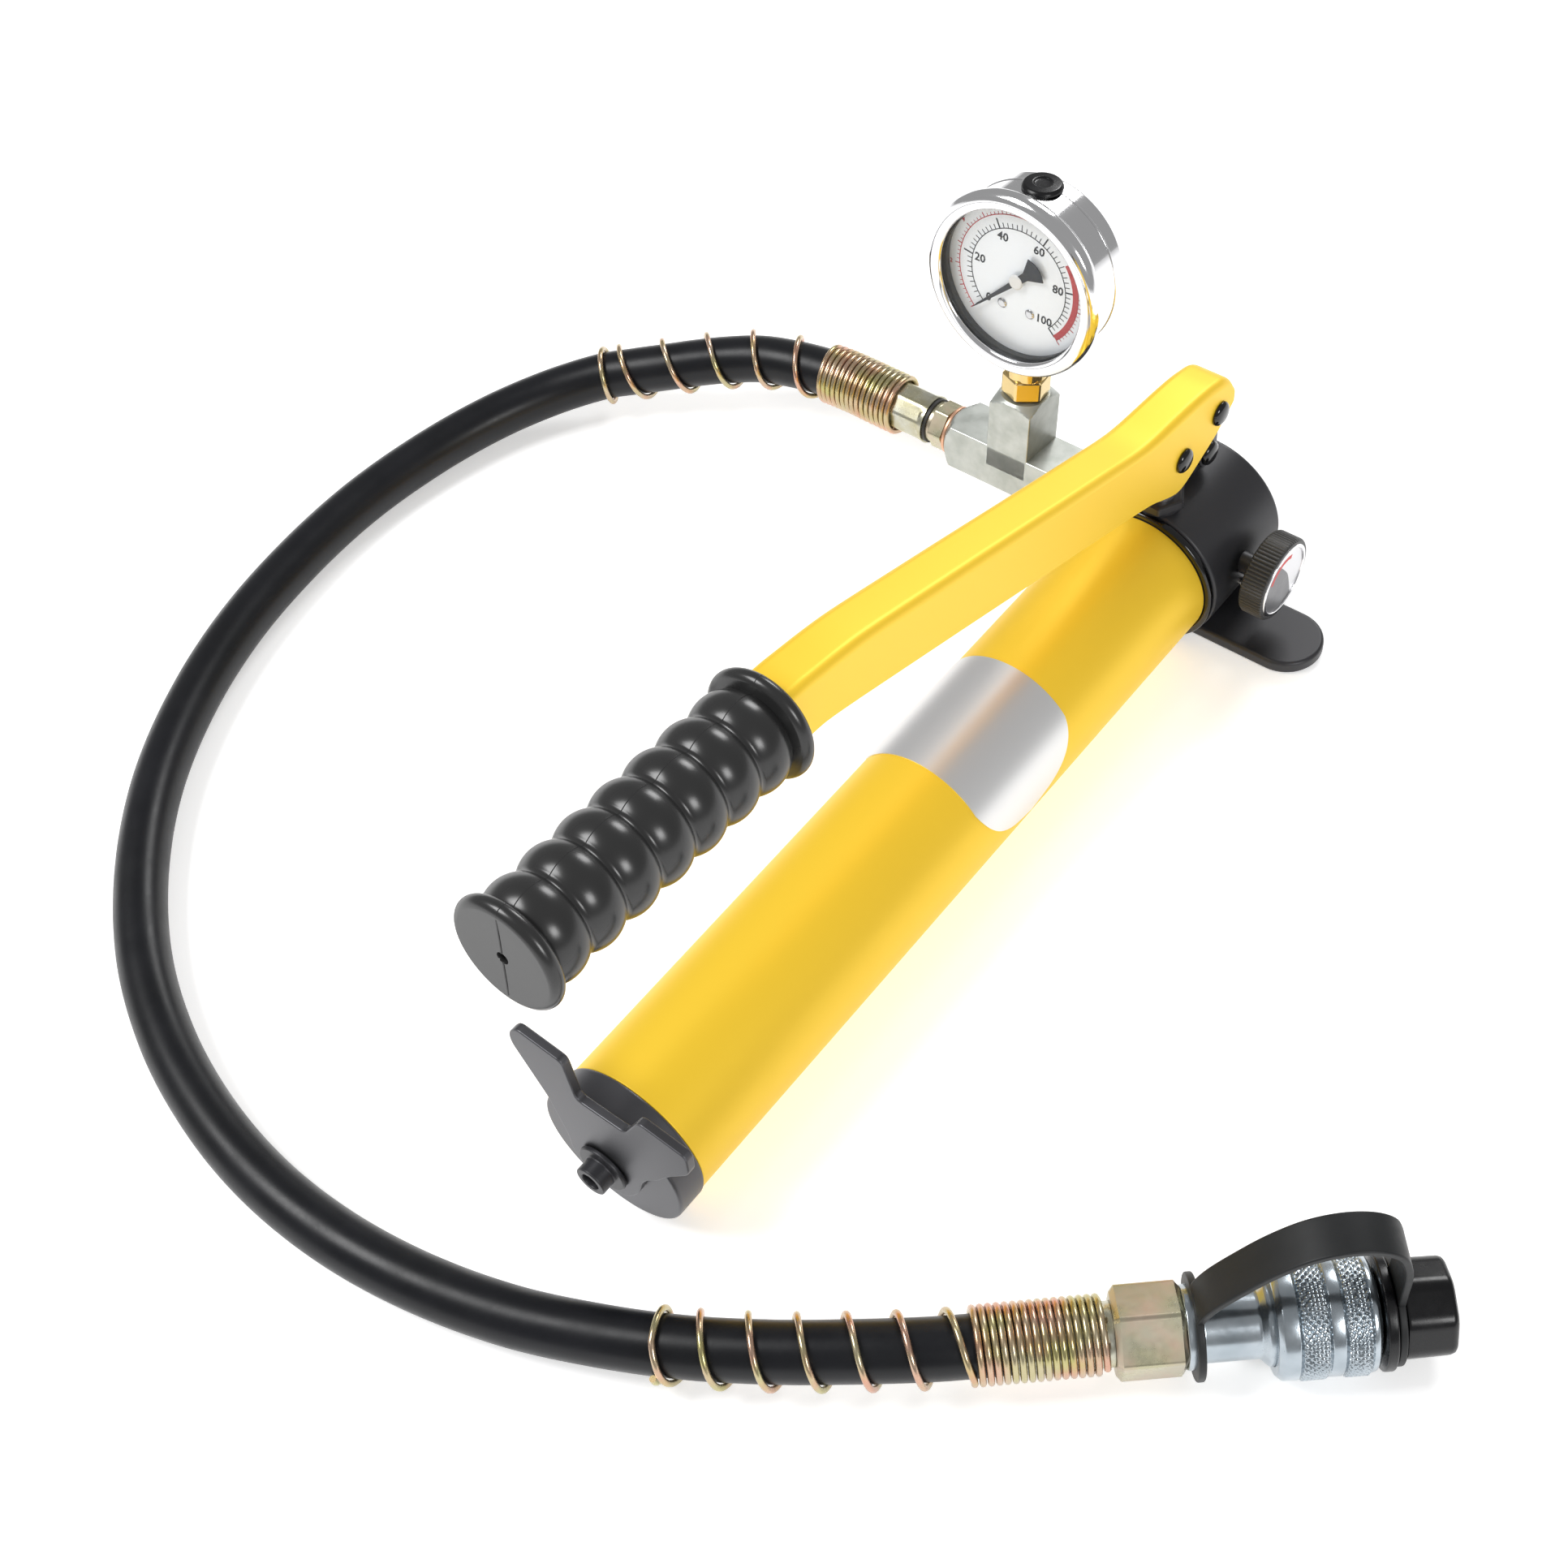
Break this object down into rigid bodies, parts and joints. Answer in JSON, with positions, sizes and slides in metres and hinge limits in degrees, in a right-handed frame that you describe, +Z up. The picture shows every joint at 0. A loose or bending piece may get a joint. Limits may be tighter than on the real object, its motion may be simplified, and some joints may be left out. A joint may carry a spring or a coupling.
{
  "type": "hydraulic hand pump",
  "caption": "Hand-operated hydraulic pump with a tubular reservoir, lever handle, pressure gauge, release knob and a hose with a quick coupler.",
  "frame": {"origin": "on the ground under the middle of the pump head's foot", "axes": "+X along the reservoir towards the pump head, +Z up"},
  "size_m": [0.3929, 0.4962, 0.1642],
  "materials": {
    "yellow_enamel": "glossy",
    "black_enamel": "satin",
    "dark_steel": "satin",
    "bright_steel": "polished",
    "zinc": "satin",
    "yellow_zinc": "satin",
    "polished_steel": "polished",
    "brass": "polished",
    "copper": "satin",
    "rubber": "satin",
    "grip_rubber": "glossy",
    "knob_plastic": "satin",
    "seal": "matte",
    "ptfe": "matte",
    "label_foil": "satin",
    "dial_paint": "satin",
    "glass": "polished",
    "pointer_paint": "matte",
    "knob_foil": "satin"
  },
  "bodies": {
    "pump": {"reservoir_tube": "yellow_enamel", "label": "label_foil", "tail_cap": "dark_steel", "tail_seal": "seal", "tie_rod": "bright_steel", "tie_nut": "black_enamel", "pump_head": "black_enamel", "head_collar": "black_enamel", "head_seal": "seal", "suction_strainer": "bright_steel", "inlet_ball": "bright_steel", "outlet_ball": "bright_steel", "outlet_spring": "bright_steel", "outlet_plug": "black_enamel", "gland_nut": "black_enamel", "plunger_seal": "ptfe", "link_foot_pin": "black_enamel", "stop_pin": "bright_steel", "outlet_nipple": "zinc", "tee": "zinc", "gauge_socket": "brass", "gauge_case": "polished_steel", "gauge_bezel": "polished_steel", "gauge_glass": "glass", "gauge_gasket": "seal", "gauge_dial": "dial_paint", "dial_screws": "bright_steel", "gauge_movement": "brass", "bourdon_tube": "brass", "fill_plug": "rubber", "hose_adaptor": "yellow_zinc", "sealing_washer": "copper", "ferrule_pump_end": "zinc", "spring_guard_pump_end": "yellow_zinc", "hose": "rubber", "spring_guard_coupler_end": "yellow_zinc", "ferrule_coupler_end": "zinc", "coupler_nut": "yellow_zinc", "coupler_body": "zinc", "sleeve_spring": "bright_steel", "coupler_balls": "bright_steel", "cap_strap": "rubber"},
    "plunger": {"plunger": "bright_steel"},
    "link": {"link_plates": "dark_steel", "link_top_pin": "black_enamel"},
    "lever": {"lever": "yellow_enamel", "grip": "grip_rubber", "plunger_pin": "black_enamel"},
    "hook": {"tail_hook": "dark_steel"},
    "release_valve": {"release_stem": "black_enamel", "release_ball": "bright_steel", "release_knob": "knob_plastic", "knob_ring": "polished_steel", "knob_disc": "knob_foil"},
    "gauge_pointer": {"pointer": "pointer_paint"},
    "sleeve": {"coupler_sleeve": "zinc"},
    "cap": {"dust_cap": "rubber"}
  },
  "joints": [
    {"name": "plunger_stroke", "type": "slide", "parent": "pump", "child": "plunger", "axis": [0, 0, 1], "range_m": [-0.0032, 0.0122]},
    {"name": "lever_swing", "type": "hinge", "parent": "plunger", "child": "lever", "pos_m": [-0.0106, 0, 0.0755], "axis": [0, 1, 0], "range_deg": [-8, 32]},
    {"name": "link_swing", "type": "hinge", "parent": "pump", "child": "link", "pos_m": [0.0105, 0, 0.061], "axis": [0, 1, 0], "range_deg": [-1.5, 1]},
    {"name": "hook_turn", "type": "hinge", "parent": "pump", "child": "hook", "pos_m": [-0.299, 0, 0.0255], "axis": [1, 0, 0], "range_deg": [-75, 75]},
    {"name": "knob_turn", "type": "hinge", "parent": "pump", "child": "release_valve", "pos_m": [0.0015, -0.04, 0.029], "axis": [0, -1, 0], "range_deg": [0, 270]},
    {"name": "pointer_sweep", "type": "hinge", "parent": "pump", "child": "gauge_pointer", "pos_m": [0.01017, 0.064, 0.10898], "axis": [0.9936, 0, -0.1132], "range_deg": [0, 270], "stiffness_Nm_per_rad": 0.0005},
    {"name": "sleeve_pull", "type": "slide", "parent": "pump", "child": "sleeve", "axis": [-0.6613, 0.7501, 0], "range_m": [0, 0.005], "stiffness_N_per_m": 800, "deforming": ["sleeve_spring"]},
    {"name": "cap_pull", "type": "slide", "parent": "pump", "child": "cap", "axis": [0.6613, -0.7501, 0], "range_m": [0, 0.014], "deforming": ["cap_strap"]}
  ],
  "couplings": [
    {"joint": "plunger_stroke", "follows": "lever_swing", "m_per_rad": 0.0214},
    {"joint": "link_swing", "follows": "lever_swing", "ratio": -0.036}
  ]
}
